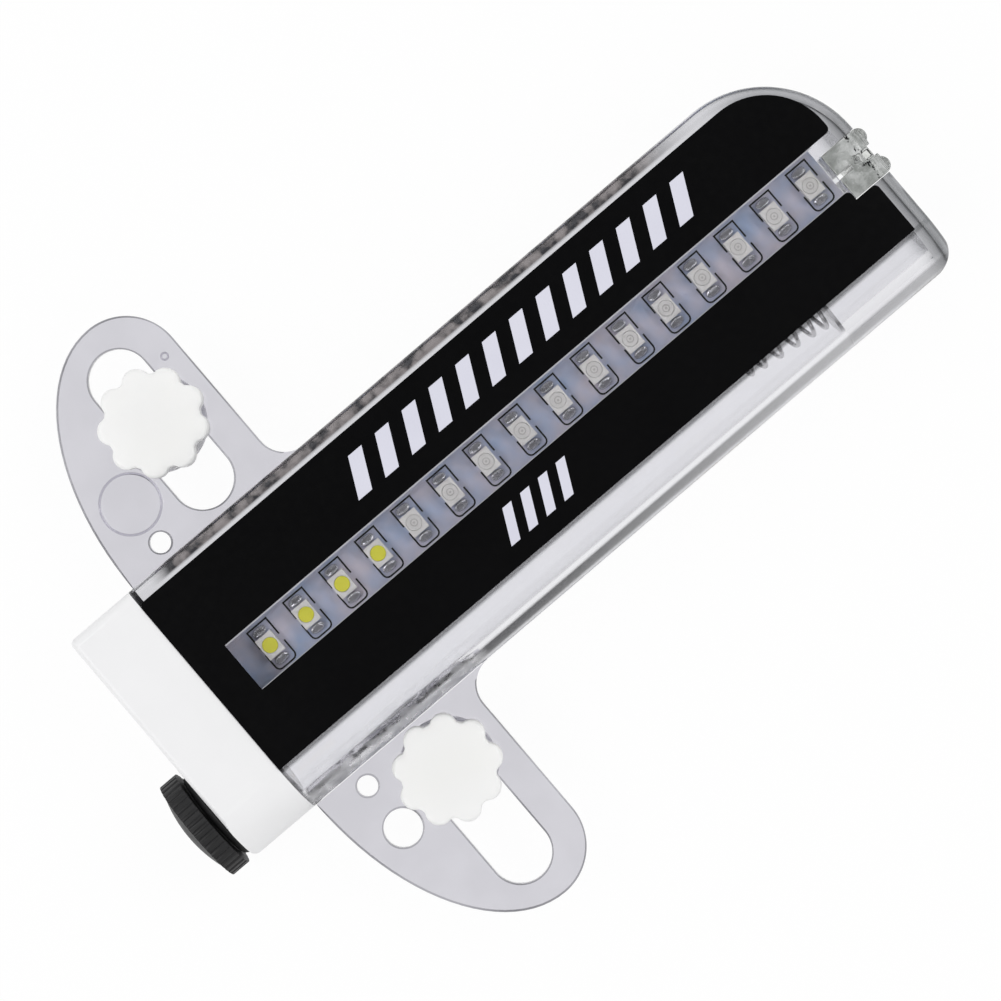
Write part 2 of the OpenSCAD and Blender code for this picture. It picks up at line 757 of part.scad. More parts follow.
module battery_spring() {
    stations = [for (i = [0:spring_rings]) spring_point(i)];
    headings = [for (i = [0:spring_rings]) spring_heading(i)];
    first_end = stations[0] - wire_d * [0, headings[0].y, headings[0].z];
    last_end = stations[spring_rings] + wire_d * headings[spring_rings];
    rings = concat(
        [wire_ring(first_end, headings[0])],
        [for (i = [0:spring_rings]) wire_ring(stations[i], headings[i])],
        [wire_ring(last_end, headings[spring_rings])]
    );
    last = len(rings) - 1;
    points = [for (ring = rings) each ring];
    sides = [for (j = [0:last - 1], k = [0:wire_sides - 1])
        let (a = j * wire_sides + k,
             b = j * wire_sides + (k + 1) % wire_sides)
        each [[a, b, a + wire_sides], [b, b + wire_sides, a + wire_sides]]];
    ends = [for (k = [1:wire_sides - 2])
        each [[0, k + 1, k],
              [last * wire_sides, last * wire_sides + k, last * wire_sides + k + 1]]];
    gaps = [for (i = [0:spring_rings], j = [i + turn_rings / 2:1:spring_rings])
        norm(stations[i] - stations[j]) - wire_d];
    echo(least_gap_of_spring_to_itself = min(gaps));
    color([0.80, 0.80, 0.82]) place() polyhedron(points, concat(sides, ends));
}

module spring_plate() {
    plate_r = bore_r - tab_play;
    color([0.78, 0.78, 0.80]) place() {
        rod_x(plate_r, spring_base_x, bay_depth);
        block(spring_base_x, bay_depth, tube_y, chamber_y0 - board_groove - bond,
              -tab_w / 2, tab_w / 2);
    }
}

// Flat strip that rubs on the plug's contact, with a tab to the board
module positive_strip() {
    strip_y = tube_y + strip_r;
    strip_end = strip_start + strip_l;
    color([0.80, 0.70, 0.42]) place() {
        block(strip_start, strip_end, strip_y, strip_y + strip_t, -tab_w / 2, tab_w / 2);
        block(strip_end - tab_l, strip_end, strip_y, chamber_y0 - board_groove - bond,
              -strip_t / 2, strip_t / 2);
    }
}

// Tapered sealing ring between the plug and the cap
module plug_gasket() {
    color([0.07, 0.07, 0.07]) place() difference() {
        translate([gasket_face + slip, tube_y, 0]) rotate([0, 90, 0])
            cylinder(d1 = gasket_d - gasket_taper, d2 = gasket_d, h = gasket_t - 2 * slip);
        rod_x(neck_d / 2 + neck_play, gasket_face - cut, cap_face + cut);
    }
}

// Knurled plug: a domed grip rim, a screwed neck and a nose for the contact
module battery_plug() {
    groove_at = grip_d / 2 + grip_groove_r / 2;
    nose_end = nose_reach - contact_t - nose_play;
    color([0.13, 0.13, 0.14]) place() difference() {
        union() {
            rod_x(grip_d / 2, rim_end, rim_face);
            about_battery_axis(rim_end) intersection() {
                translate([0, dome_sphere_r - dome_h]) circle(r = dome_sphere_r);
                translate([0, -dome_h]) square([dome_base_r, dome_h + cut]);
            }
            rod_x(neck_d / 2, rim_face - cut, neck_end);
            rod_x(nose_r, neck_end - cut, nose_end);
        }
        for (i = [0:grip_ribs - 1]) translate([0, tube_y, 0]) rotate([360 * i / grip_ribs, 0, 0])
            rod_x(grip_groove_r, rim_end - cut, rim_face + slip, groove_at);
    }
}

module plug_contact() {
    color([0.78, 0.78, 0.80]) place() difference() {
        rod_x(cup_r, cup_start, nose_reach);
        rod_x(cup_r - cup_wall, cup_start - cut, nose_reach - contact_t);
    }
}

// Place of a clamp along its slot, upper side positive
module at_clamp(y) {
    translate([slot_x, y, 0]) children();
}

module washer(y) {
    at_clamp(y) translate([0, 0, wing_t / 2 + slip]) difference() {
        cylinder(d = washer_d, h = washer_t - slip);
        translate([0, 0, -cut]) cylinder(r = stem_d / 2 + stem_play, h = washer_t + 2 * cut);
    }
}

// Scalloped head with bevelled lobes, on a plain stem
module thumbscrew(y, turn) {
    at_clamp(y) {
        translate([0, 0, knob_seat]) intersection() {
            union() {
                cylinder(r = knob_core_r, h = knob_h);
                for (i = [0:knob_lobes - 1]) rotate(turn + 360 * i / knob_lobes)
                    translate([knob_r - knob_lobe_r, 0, 0]) cylinder(r = knob_lobe_r, h = knob_h);
            }
            union() {
                cylinder(r = knob_r + cut, h = knob_h - knob_bevel);
                translate([0, 0, knob_h - knob_bevel])
                    cylinder(r1 = knob_r + slip, r2 = knob_r - knob_bevel, h = knob_bevel);
            }
        }
        translate([0, 0, knob_seat - stem_l]) cylinder(d = stem_d, h = stem_l + cut);
    }
}

// Round jaw behind the wing: a key that slides in the slot, and a half-round
// groove on each side of it for a spoke
module jaw(y) {
    jaw_r = jaw_d / 2;
    at_clamp(y) difference() {
        union() {
            translate([0, 0, jaw_face - jaw_t])
                cylinder(r1 = jaw_r - jaw_bevel, r2 = jaw_r, h = jaw_bevel);
            translate([0, 0, jaw_face - jaw_t + jaw_bevel])
                cylinder(r = jaw_r, h = jaw_t - jaw_bevel);
            translate([0, 0, jaw_face - cut]) linear_extrude(jaw_gap + key_reach + cut) jaw_key();
        }
        translate([0, 0, jaw_face - jaw_t - cut])
            cylinder(r = stem_d / 2 + stem_play, h = jaw_t + jaw_gap + key_reach + 2 * cut);
        for (s = [-1, 1])
            rod_x(spoke_d / 2, -jaw_r - cut, jaw_r + cut, s * groove_y, jaw_face);
    }
}

module jaw_key() {
    inner = key_half - key_r;
    square([2 * key_half, 2 * inner], center = true);
    square([2 * inner, 2 * key_half], center = true);
    for (sx = [-1, 1], sy = [-1, 1]) translate([sx * inner, sy * inner]) circle(r = key_r);
}

module upper_washer() { color([0.90, 0.90, 0.88]) place() washer(upper_clamp_y); }
module lower_washer() { color([0.90, 0.90, 0.88]) place() washer(-lower_clamp_y); }
module upper_thumbscrew() { color([0.93, 0.93, 0.92]) place() thumbscrew(upper_clamp_y, upper_turn); }
module lower_thumbscrew() { color([0.93, 0.93, 0.92]) place() thumbscrew(-lower_clamp_y, lower_turn); }
module upper_jaw() { color([0.92, 0.92, 0.91]) place() jaw(upper_clamp_y); }
module lower_jaw() { color([0.92, 0.92, 0.91]) place() jaw(-lower_clamp_y); }

case();
upper_wing();
lower_wing();
tip_plug();
end_cap();
front_label();
led_board();
lamp_housings();
white_lamp_fills();
colour_lamp_fills();
lamp_solder();
controller_chip();
chip_pins();
chip_resistors();
motion_switch();
switch_leads();
battery_spring();
spring_plate();
positive_strip();
plug_gasket();
battery_plug();
plug_contact();
upper_washer();
upper_thumbscrew();
upper_jaw();
lower_washer();
lower_thumbscrew();
lower_jaw();
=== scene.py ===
# %% [markdown]
# A spoke wheel light lies on its back on a white table, seen from straight above.
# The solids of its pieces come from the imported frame, in metres, and each stays where
# it is. This file gives them their looks: softer edges, small printed and moulded
# details, finishes made of nodes, and a plain studio.

# %% Load the frame
import json
import math
import random

import bmesh
import bpy
from mathutils import Matrix, Vector

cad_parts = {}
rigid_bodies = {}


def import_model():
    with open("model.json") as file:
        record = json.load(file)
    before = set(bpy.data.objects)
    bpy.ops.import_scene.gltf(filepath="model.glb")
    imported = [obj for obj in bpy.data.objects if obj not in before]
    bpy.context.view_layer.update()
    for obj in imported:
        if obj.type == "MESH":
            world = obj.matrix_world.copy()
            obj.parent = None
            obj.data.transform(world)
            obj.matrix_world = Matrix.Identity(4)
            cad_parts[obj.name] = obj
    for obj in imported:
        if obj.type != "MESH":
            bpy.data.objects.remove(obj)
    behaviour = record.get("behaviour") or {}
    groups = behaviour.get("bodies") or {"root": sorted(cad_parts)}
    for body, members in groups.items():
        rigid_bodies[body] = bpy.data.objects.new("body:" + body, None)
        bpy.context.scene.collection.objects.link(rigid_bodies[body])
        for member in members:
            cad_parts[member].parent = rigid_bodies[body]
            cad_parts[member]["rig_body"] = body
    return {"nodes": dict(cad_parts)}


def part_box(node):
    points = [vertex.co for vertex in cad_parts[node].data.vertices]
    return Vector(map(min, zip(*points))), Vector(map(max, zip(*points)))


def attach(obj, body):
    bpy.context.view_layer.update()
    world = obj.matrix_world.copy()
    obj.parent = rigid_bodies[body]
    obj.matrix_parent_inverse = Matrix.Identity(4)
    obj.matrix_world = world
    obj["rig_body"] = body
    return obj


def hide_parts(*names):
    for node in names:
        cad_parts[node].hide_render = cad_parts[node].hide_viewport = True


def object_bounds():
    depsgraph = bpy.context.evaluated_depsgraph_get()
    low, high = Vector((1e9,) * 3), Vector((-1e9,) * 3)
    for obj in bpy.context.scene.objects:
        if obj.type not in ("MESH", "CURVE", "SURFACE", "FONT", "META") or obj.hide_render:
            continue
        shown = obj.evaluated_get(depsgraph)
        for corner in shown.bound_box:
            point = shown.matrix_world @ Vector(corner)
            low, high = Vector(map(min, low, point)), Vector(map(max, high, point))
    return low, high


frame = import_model()
nodes = frame["nodes"]
cad_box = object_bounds()
MM = 0.001
print("pieces in the frame:", len(nodes))

# %% [markdown]
# A finish is a tree of nodes. Writing such a tree by hand takes a line per node and per
# link, so small classes do it. A Value wraps one socket, and arithmetic on it adds Math
# nodes. Nodes holds one tree, and its node method adds any other node: first its
# settings are made, then its sockets get numbers or links. The sky uses it as it is, and
# a Finish is the tree of one material.

# %% Values that can be added and multiplied
class Value:
    """One output of a finish's nodes. Arithmetic on it adds Math nodes."""

    def __init__(self, finish, socket):
        self.finish = finish
        self.socket = socket

    def math(self, operation, *inputs):
        return self.finish.node("ShaderNodeMath", {"operation": operation}, dict(enumerate(inputs)))

    def __add__(self, other):
        return self.math("ADD", self, other)

    def __radd__(self, other):
        return self.math("ADD", other, self)

    def __rsub__(self, other):
        return self.math("SUBTRACT", other, self)

    def __mul__(self, other):
        return self.math("MULTIPLY", self, other)

    def __rmul__(self, other):
        return self.math("MULTIPLY", other, self)


# %% [markdown]
# Colours are written as they look on a screen, from 0 to 255, and turned into the
# linear numbers that a shader works with. Noise and places read Object coordinates,
# which are metres here because every piece sits at the origin, so a grain size in
# millimetres gives the scale of a pattern, and a finish can change from place to place.

# %% Finishes made of nodes
def paint(red, green, blue):
    """A screen colour as the linear colour of a shader, by the rule for sRGB."""
    def linear(level):
        share = level / 255
        return share / 12.92 if share <= 0.04045 else ((share + 0.055) / 1.055) ** 2.4
    return (linear(red), linear(green), linear(blue), 1)


class Nodes:
    """A tree of nodes that is being made. Its methods add nodes and return a Value."""

    def __init__(self, tree):
        self.tree = tree
        self.tree.nodes.clear()

    def node(self, kind, settings=None, sockets=None, output=0):
        made = self.tree.nodes.new(kind)
        for name, setting in (settings or {}).items():
            setattr(made, name, setting)
        for name, value in (sockets or {}).items():
            if isinstance(value, Value):
                self.tree.links.new(value.socket, made.inputs[name])
            else:
                made.inputs[name].default_value = value
        return Value(self, made.outputs[output]) if made.outputs else None

    def spread(self, value, start, stop):
        """A share that grows smoothly from 0 to 1 while a value goes from start to stop."""
        sockets = {"Value": value, "From Min": start, "From Max": stop}
        return self.node("ShaderNodeMapRange", {"interpolation_type": "SMOOTHSTEP"}, sockets)

    def ray(self, kind):
        """1 for rays of this kind, and 0 for all others."""
        return self.node("ShaderNodeLightPath", output="Is " + kind + " Ray")

    def either(self, share, first, second):
        """A shader between two shaders."""
        return self.node("ShaderNodeMixShader", {}, {0: share, 1: first, 2: second})


class Finish(Nodes):
    """The tree of one material, with the patterns that finishes share."""

    def __init__(self, name):
        self.material = bpy.data.materials.new(name)
        self.material.use_nodes = True
        super().__init__(self.material.node_tree)

    def places(self):
        return self.node("ShaderNodeTexCoord", output="Object")

    def along(self, axis):
        """How far a place lies along an axis, in metres."""
        return self.node("ShaderNodeSeparateXYZ", {}, {"Vector": self.places()}, axis)

    def ramp(self, axis, start_mm, stop_mm):
        """A share that grows from 0 to 1 between two places along an axis."""
        return self.spread(self.along(axis), start_mm * MM, stop_mm * MM)

    def noise(self, grain_mm, detail=2):
        """Soft random values from 0 to 1, in patches of about this size."""
        sockets = {"Vector": self.places(), "Scale": 1 / (grain_mm * MM), "Detail": detail}
        return self.node("ShaderNodeTexNoise", {}, sockets)

    def mix(self, share, first, second):
        """A colour between two colours, by the sockets that a Mix node has for colours."""
        share_in, first_in, second_in, colour_out = 0, 6, 7, 2
        sockets = {share_in: share, first_in: first, second_in: second}
        return self.node("ShaderNodeMix", {"data_type": "RGBA"}, sockets, colour_out)

    def bump(self, height, depth_mm):
        """A normal that makes a height from 0 to 1 stand up by this depth."""
        return self.node("ShaderNodeBump", {}, {"Height": height, "Distance": depth_mm * MM})

    def surface(self, **sockets):
        """End the tree with a Principled shader, and return the material."""
        plain = {name.replace("_", " "): value for name, value in sockets.items()}
        shader = self.node("ShaderNodeBsdfPrincipled", {}, plain)
        return self.end(shader)

    def end(self, shader, volume=None):
        sockets = {"Surface": shader, "Volume": volume} if volume else {"Surface": shader}
        self.node("ShaderNodeOutputMaterial", {}, sockets)
        return self.material


print("a mid grey of 128 is", round(paint(128, 128, 128)[0], 3), "to a shader")

# %% [markdown]
# Moulded plastic is never one flat colour: its pigment is slightly uneven, and the tool
# leaves a fine texture that breaks up the highlights. One function makes every opaque
# plastic, rubber and ink here from two near colours, a gloss and the size of that
# texture. Light goes a few millimetres into the nylon of the clamps, which softens the
# shading of its lobes.

# %% Opaque plastics
def moulded(name, colour, shade, roughness, grain_mm, depth_mm, light_depth_mm=0):
    """Opaque plastic between two near colours, with a fine moulded texture."""
    polish_spread = 0.12
    finish = Finish(name)
    cloud = finish.noise(grain_mm=9, detail=3)
    polish = finish.noise(grain_mm=2.5)
    return finish.surface(
        Base_Color=finish.mix(cloud, colour, shade),
        Roughness=roughness - polish_spread / 2 + polish_spread * polish,
        Normal=finish.bump(finish.noise(grain_mm), depth_mm),
        IOR=1.5,
        Subsurface_Weight=0.8 if light_depth_mm else 0,
        Subsurface_Radius=(1, 1, 1),
        Subsurface_Scale=light_depth_mm * MM,
    )


white_cap = moulded(
    "white_cap", paint(246, 246, 247), paint(240, 240, 241),
    roughness=0.42, grain_mm=0.35, depth_mm=0.006,
)
white_knob = moulded(
    "white_knob", paint(249, 249, 247), paint(244, 244, 242),
    roughness=0.45, grain_mm=0.3, depth_mm=0.008, light_depth_mm=2.5,
)
black_plug = moulded(
    "black_plug", paint(17, 17, 19), paint(11, 11, 13),
    roughness=0.5, grain_mm=0.12, depth_mm=0.012,
)
black_rubber = moulded(
    "black_rubber", paint(18, 18, 19), paint(12, 12, 13),
    roughness=0.62, grain_mm=0.2, depth_mm=0.01,
)
lamp_white = moulded(
    "lamp_white", paint(238, 236, 231), paint(228, 226, 221),
    roughness=0.4, grain_mm=0.15, depth_mm=0.004,
)
chip_black = moulded(
    "chip_black", paint(34, 34, 36), paint(24, 24, 26),
    roughness=0.55, grain_mm=0.1, depth_mm=0.01,
)
pale_ink = moulded(
    "pale_ink", paint(226, 226, 238), paint(214, 214, 228),
    roughness=0.5, grain_mm=0.25, depth_mm=0.003,
)
black_ink = moulded(
    "black_ink", paint(14, 14, 16), paint(8, 8, 10),
    roughness=0.5, grain_mm=0.2, depth_mm=0.003,
)
# the film's pale cut edge, with a painted highlight where it faces the light
cut_edge_and_highlight = moulded(
    "cut_edge_and_highlight", paint(214, 214, 220), paint(176, 176, 182),
    roughness=0.5, grain_mm=0.25, depth_mm=0.003,
)
print("opaque plastics: 9")

# %% [markdown]
# The case, the wings and the tip plug are clear acrylic. A Principled shader with full
# transmission bends light as the real plastic does. The plastic also swallows a little
# light on the way through, so that the thick rims, where the way is long, come out
# greyer than the thin walls.
# A shadow ray can't bend, so for those rays alone the plastic is a plain filter: the
# lamps then reach the board and the spring inside. The tongues of the wings are bonded
# into the case, and a bonded joint has no surface left, so light goes straight on there.

# %% Clear plastics
def within(finish, value, low_mm, high_mm):
    """A share that is 1 between two lengths, and 0 a little beyond them."""
    fade_mm = 0.05
    rise = finish.spread(value, (low_mm - fade_mm) * MM, low_mm * MM)
    return rise * finish.spread(value, (high_mm + fade_mm) * MM, high_mm * MM)


def bonded(finish):
    """How much a place lies in the joint where the tongue of a wing fills its groove."""
    joint_x = (-51.5, -21.2)
    joint_y = (19.25, 20.22)
    joint_z = (6.98, 9.42)
    sideways = finish.along("Y")
    outward = sideways.math("ABSOLUTE", sideways)
    joint = within(finish, outward, *joint_y) * within(finish, finish.along("X"), *joint_x)
    return joint * within(finish, finish.along("Z"), *joint_z)


def clear_plastic(finish, colour, roughness, tint, loss, ripple_mm=5, depth_mm=0.02):
    """See-through plastic that loses this share of light in a millimetre, blue the least."""
    sockets = {
        "Base Color": colour,
        "Roughness": roughness,
        "Normal": finish.bump(finish.noise(ripple_mm), depth_mm),
        "Transmission Weight": 1,
        "IOR": 1.47,
    }
    body = finish.node("ShaderNodeBsdfPrincipled", {}, sockets)
    filtered = finish.node("ShaderNodeBsdfTransparent", {}, {"Color": tint})
    shader = finish.either(finish.ray("Shadow"), body, filtered)
    straight_on = finish.node("ShaderNodeBsdfTransparent", {}, {"Color": (1, 1, 1, 1)})
    shader = finish.either(bonded(finish), shader, straight_on)
    swallowed = {"Color": (0, 0, 0.06, 1), "Density": loss / MM}
    thickness = finish.node("ShaderNodeVolumeAbsorption", {}, swallowed)
    return finish.end(shader, thickness)


def clear_sheet(name, tint, shade, haze, loss, patch_mm=7, ripple_mm=5, depth_mm=0.02):
    """Clear plastic that is a little uneven in tint and polish."""
    finish = Finish(name)
    cloud = finish.spread(finish.noise(patch_mm, detail=3), start=0.35, stop=0.65)
    colour = finish.mix(cloud, tint, shade)
    roughness = haze * finish.noise(grain_mm=3)
    return clear_plastic(finish, colour, roughness, tint, loss, ripple_mm, depth_mm)


clear_wing = clear_sheet(
    "clear_wing", paint(225, 224, 230), paint(220, 219, 225), haze=0.06, loss=0.02,
)
clear_tip = clear_sheet(
    "clear_tip", paint(252, 254, 250), paint(166, 170, 164),
    haze=0.1, loss=0.03, patch_mm=2.8, ripple_mm=1.3, depth_mm=0.15,
)
# painted shade: a darker tint that draws the outline of the plates, with more haze
painted_edge_shade = clear_sheet(
    "painted_edge_shade", paint(182, 182, 187), paint(112, 112, 116), haze=0.3, loss=0.02, patch_mm=14,
)
print("clear sheets: 3")

# %% [markdown]
# Some of the case is painted by place, in millimetres from the middle of the light. Its long
# sides are painted dark, as painted shade: seen from above they are dark, because light that
# enters there is turned round inside the wall. On the lamp side the painted shade is broken
# into patches of near black and dark brown, which are painted reflections. A thin grey line
# along the film on the battery side is a painted shadow of the film's edge, and the rim round
# the tip is solid and a little clouded. The solvent of the joint has clouded the battery side along
# its wing, too.

# %% Clear case
def case_sides(finish):
    """How much painted shade shows at a place: on the battery side with the film's painted shadow,
    and on the lamp side.
    """
    side_start, side_full = 18.1, 18.6
    upper_half = (10, 11.5)
    top_rim = (14.6, 15.4)
    past_the_wing = (-25, -19)
    away_from_tip = (170, -15)
    # a thin grey line beside the film: a painted shadow of the film's edge
    film_shadow_outside = (-13.7, -13.2)
    film_shadow_inside = (-12.5, -12.8)
    film_shadow_share = 0.65
    lamp_side_start = (-50, -46)
    lamp_side_end = (54, 40)
    # painted shade: the battery side of the tube is painted near black where it looks dark from
    # above
    battery_side_shade = finish.ramp("Y", -side_start, -side_full) * finish.ramp("Z", *upper_half)
    battery_side_shade = battery_side_shade * finish.ramp("X", *past_the_wing) * finish.ramp("X", *away_from_tip)
    # painted shadow of the film's edge, as a thin band along the film
    film_edge_shadow = finish.ramp("Y", *film_shadow_outside) * finish.ramp("Y", *film_shadow_inside)
    film_edge_shadow = film_edge_shadow * finish.ramp("Z", *upper_half)
    # painted shade along the top of the rim on the lamp side
    lamp_side_shade = finish.ramp("Y", side_start, side_full) * finish.ramp("Z", *top_rim)
    lamp_side_shade = lamp_side_shade * finish.ramp("X", *lamp_side_start) * finish.ramp("X", *lamp_side_end)
    return battery_side_shade + film_shadow_share * film_edge_shadow, lamp_side_shade


def case_tip(finish):
    """How much of the hazy rim shows at a place: round the tip's corner, and along its end."""
    corner_middle = (52.25 * MM, 4.1 * MM, 0)
    rim_start, rim_full = 13 * MM, 16.6 * MM
    corner_x = (50, 62)
    corner_y = (0, 4)
    end_x = (63.5, 69)
    level = {0: finish.places(), 1: (1, 1, 0)}
    flat = finish.node("ShaderNodeVectorMath", {"operation": "MULTIPLY"}, level)
    ends = {0: flat, 1: corner_middle}
    reach = finish.node("ShaderNodeVectorMath", {"operation": "DISTANCE"}, ends, "Value")
    round_rim = finish.spread(reach, rim_start, rim_full)
    round_rim = round_rim * finish.ramp("X", *corner_x) * finish.ramp("Y", *corner_y)
    return round_rim.math("MAXIMUM", round_rim, finish.ramp("X", *end_x))


def clouded_seam(finish, patches):
    """Haze on the battery side along the lower wing, in patches."""
    seam_y = (-17, -18.4)
    seam_x = (-19.5, -23)
    least, more = 0.2, 0.3
    return finish.ramp("Y", *seam_y) * finish.ramp("X", *seam_x) * (least + more * patches)


def clear_case():
    """Clear plastic with painted shade along its sides, a clouded seam, and a grey, hazy rim round
    its tip.
    """
    polish_haze, tip_haze = 0.06, 0.25
    finish = Finish("clear_shell")
    tint = paint(249, 249, 251)
    battery_side_shade, lamp_side_shade = case_sides(finish)
    tip = case_tip(finish)
    mottle = finish.spread(finish.noise(grain_mm=2.2, detail=3), start=0.38, stop=0.66)
    # the lamp side's painted shade: patches of near black and dark brown, which are painted
    # reflections
    mottled_shade = finish.mix(mottle, paint(14, 14, 16), paint(104, 96, 94))
    colour = finish.mix(finish.noise(grain_mm=7, detail=3), tint, paint(245, 245, 248))
    # painted shade on the battery side, with the painted shadow of the film's edge
    colour = finish.mix(battery_side_shade, colour, paint(22, 22, 24))
    # painted shade and painted reflections on the lamp side
    colour = finish.mix(lamp_side_shade, colour, mottled_shade)
    colour = finish.mix(tip, colour, paint(116, 119, 121))
    haze = polish_haze * finish.noise(grain_mm=3) + tip_haze * tip + clouded_seam(finish, mottle)
    return clear_plastic(finish, colour, haze, tint, loss=0.015)


clear_shell = clear_case()
print("clear case:", clear_shell.name)

# %% [markdown]
# The label is a black film with a smooth, slightly wavy face. Its gloss stays low
# straight on, so it reads as deep black from above and shines from the side. Faint
# scuffs in the roughness keep it from looking like a hole in the picture.

# %% Black film
def film():
    """Black film with faint scuffs."""
    polish, scuffing = 0.12, 0.1
    finish = Finish("black_film")
    scuffs = finish.noise(grain_mm=1.2, detail=6)
    return finish.surface(
        Base_Color=finish.mix(finish.noise(grain_mm=12), paint(10, 10, 11), paint(6, 6, 7)),
        Roughness=polish + scuffing * scuffs,
        Normal=finish.bump(finish.noise(grain_mm=9), depth_mm=0.004),
        IOR=1.4,
    )


black_film = film()
print("film:", black_film.name)

# %% [markdown]
# The board has a white lacquer that has gone blue-grey. A coarse noise gives its
# blotches, and a fine one gives specks that also stand up a little. Metals are uneven in
# colour and polish, and solder has a dull skin. The white lamps are filled with a yellow
# phosphor, and the others with resin that looks nearly white.

# %% Board, metals and lamp fills
def lacquered_board():
    """Blotchy lacquer with fine specks."""
    contrast, offset = 2.6, -0.8
    speck_share = 0.35
    polish, dullness = 0.35, 0.2
    finish = Finish("board")
    blotch = finish.noise(grain_mm=5, detail=4)
    speck = finish.noise(grain_mm=0.6)
    patch = blotch.math("MULTIPLY_ADD", blotch, contrast, offset)
    blue_lilac = finish.mix(patch, paint(170, 190, 224), paint(222, 214, 226))
    return finish.surface(
        Base_Color=finish.mix(speck_share * speck, blue_lilac, paint(190, 187, 178)),
        Roughness=polish + dullness * blotch,
        Normal=finish.bump(speck, depth_mm=0.01),
    )


def metal(name, colour, shade, roughness, grain_mm, bareness=1, relief_mm=0.006):
    """Metal that is a little uneven in colour and polish, bare or dulled by a skin."""
    polish_spread = 0.16
    fine_grain_mm = grain_mm / 4
    finish = Finish(name)
    patch = finish.noise(grain_mm, detail=3)
    return finish.surface(
        Base_Color=finish.mix(patch, colour, shade),
        Metallic=bareness,
        Roughness=roughness - polish_spread / 2 + polish_spread * patch,
        Normal=finish.bump(finish.noise(fine_grain_mm), relief_mm),
    )


def phosphor_fill():
    """Yellow powder in resin."""
    polish, dullness = 0.3, 0.2
    finish = Finish("phosphor")
    grain = finish.noise(grain_mm=0.25, detail=4)
    return finish.surface(
        Base_Color=finish.mix(grain, paint(240, 236, 78), paint(224, 220, 60)),
        Roughness=polish + dullness * grain,
        Normal=finish.bump(grain, depth_mm=0.006),
    )


board = lacquered_board()
solder = metal(
    "solder", paint(246, 246, 248), paint(214, 215, 220),
    roughness=0.18, grain_mm=1.4, bareness=0.75, relief_mm=0.16,
)
spring_steel = metal(
    "spring_steel", paint(214, 213, 212), paint(190, 190, 192), roughness=0.25, grain_mm=1.5,
)
brass_can = metal(
    "brass_can", paint(214, 190, 130), paint(196, 170, 108), roughness=0.3, grain_mm=2,
)
phosphor = phosphor_fill()
clear_resin = moulded(
    "clear_resin", paint(232, 230, 225), paint(222, 220, 215),
    roughness=0.25, grain_mm=0.2, depth_mm=0.004,
)
grey_die = moulded(
    "grey_die", paint(200, 197, 192), paint(182, 179, 175),
    roughness=0.3, grain_mm=0.1, depth_mm=0.002,
)
print("board, metals and lamp fills: 7")

# %% [markdown]
# The solids have sharp edges, and real mouldings don't: a small round along each edge
# catches the light and shows what the piece is made of. A copy of a solid is joined up
# from its loose triangles, its flat faces are merged, and the Bevel operator rounds
# the edges that are sharper than a limit. The copy then stands for the solid.

# %% Helpers for new pieces
def own_copy(node):
    """The joined mesh of a CAD node, with its flat faces merged."""
    same_place = 0.002 * MM
    same_plane = math.radians(0.5)
    mesh = bmesh.new()
    mesh.from_mesh(nodes[node].data)
    bmesh.ops.remove_doubles(mesh, verts=mesh.verts, dist=same_place)
    bmesh.ops.dissolve_limit(mesh, angle_limit=same_plane, verts=mesh.verts, edges=mesh.edges)
    return mesh


def round_edges(mesh, width_mm, segments=2, inner_y_mm=0):
    """Round the sharp edges, or only those farther from the middle of the light than inner_y.

    The width is the most that a round gets: the operator narrows all rounds of a piece to
    what its tightest spot allows. The pieces with an inner_y, the wings, would be left
    almost sharp by that, so their rounds keep the full width.
    """
    sharp = math.radians(32)
    edges = [e for e in mesh.edges if e.is_manifold and e.calc_face_angle() > sharp]
    outer = [e for e in edges if min(abs(v.co.y) for v in e.verts) >= inner_y_mm * MM]
    bmesh.ops.bevel(
        mesh, geom=outer, offset=width_mm * MM, offset_type="OFFSET", affect="EDGES",
        segments=segments, profile=0.5, material=-1, clamp_overlap=inner_y_mm == 0,
    )
    return mesh


def piece(name, mesh, finish, body, slot, *stands_for):
    """Make a mesh a finished object that rides a body."""
    crease = math.radians(38)
    data = bpy.data.meshes.new(name)
    mesh.to_mesh(data)
    mesh.free()
    data.shade_smooth()
    data.set_sharp_from_angle(angle=crease)
    made = bpy.data.objects.new(name, data)
    bpy.context.scene.collection.objects.link(made)
    data.materials.append(finish)
    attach(made, body)
    if stands_for:
        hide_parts(*stands_for)
    print(name, "faces:", len(data.polygons))
    return made


def dress(node, finish):
    """Give a CAD node that keeps its shape a finish."""
    data = nodes[node].data
    data.materials.clear()
    data.materials.append(finish)


def softened(node, finish, slot, width_mm, segments=2, inner_y_mm=0):
    """A copy of a CAD node with rounded edges, in its place."""
    mesh = round_edges(own_copy(node), width_mm, segments, inner_y_mm)
    made = piece("soft_" + node, mesh, finish, nodes[node]["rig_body"], slot, node)
    even = made.modifiers.new("even_faces", "WEIGHTED_NORMAL")
    even.keep_sharp = True
    return made


# %% [markdown]
# Bevels fail where many short edges meet at odd angles, as between the lobes of a knob.
# There the copy is rebuilt from small cubes by the Remesh modifier, and the Smooth
# modifier relaxes it, so every edge and crease turns into the soft round of a moulding.

# %% Soft mouldings
def relaxed(node, finish, slot, cube_mm, passes):
    """Put a copy of a CAD node that is soft all over in its place."""
    made = piece("soft_" + node, own_copy(node), finish, nodes[node]["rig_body"], slot, node)
    cubes = made.modifiers.new("small_cubes", "REMESH")
    cubes.mode = "VOXEL"
    cubes.voxel_size = cube_mm * MM
    cubes.use_smooth_shade = True
    relax = made.modifiers.new("relax", "SMOOTH")
    relax.factor = 0.5
    relax.iterations = passes


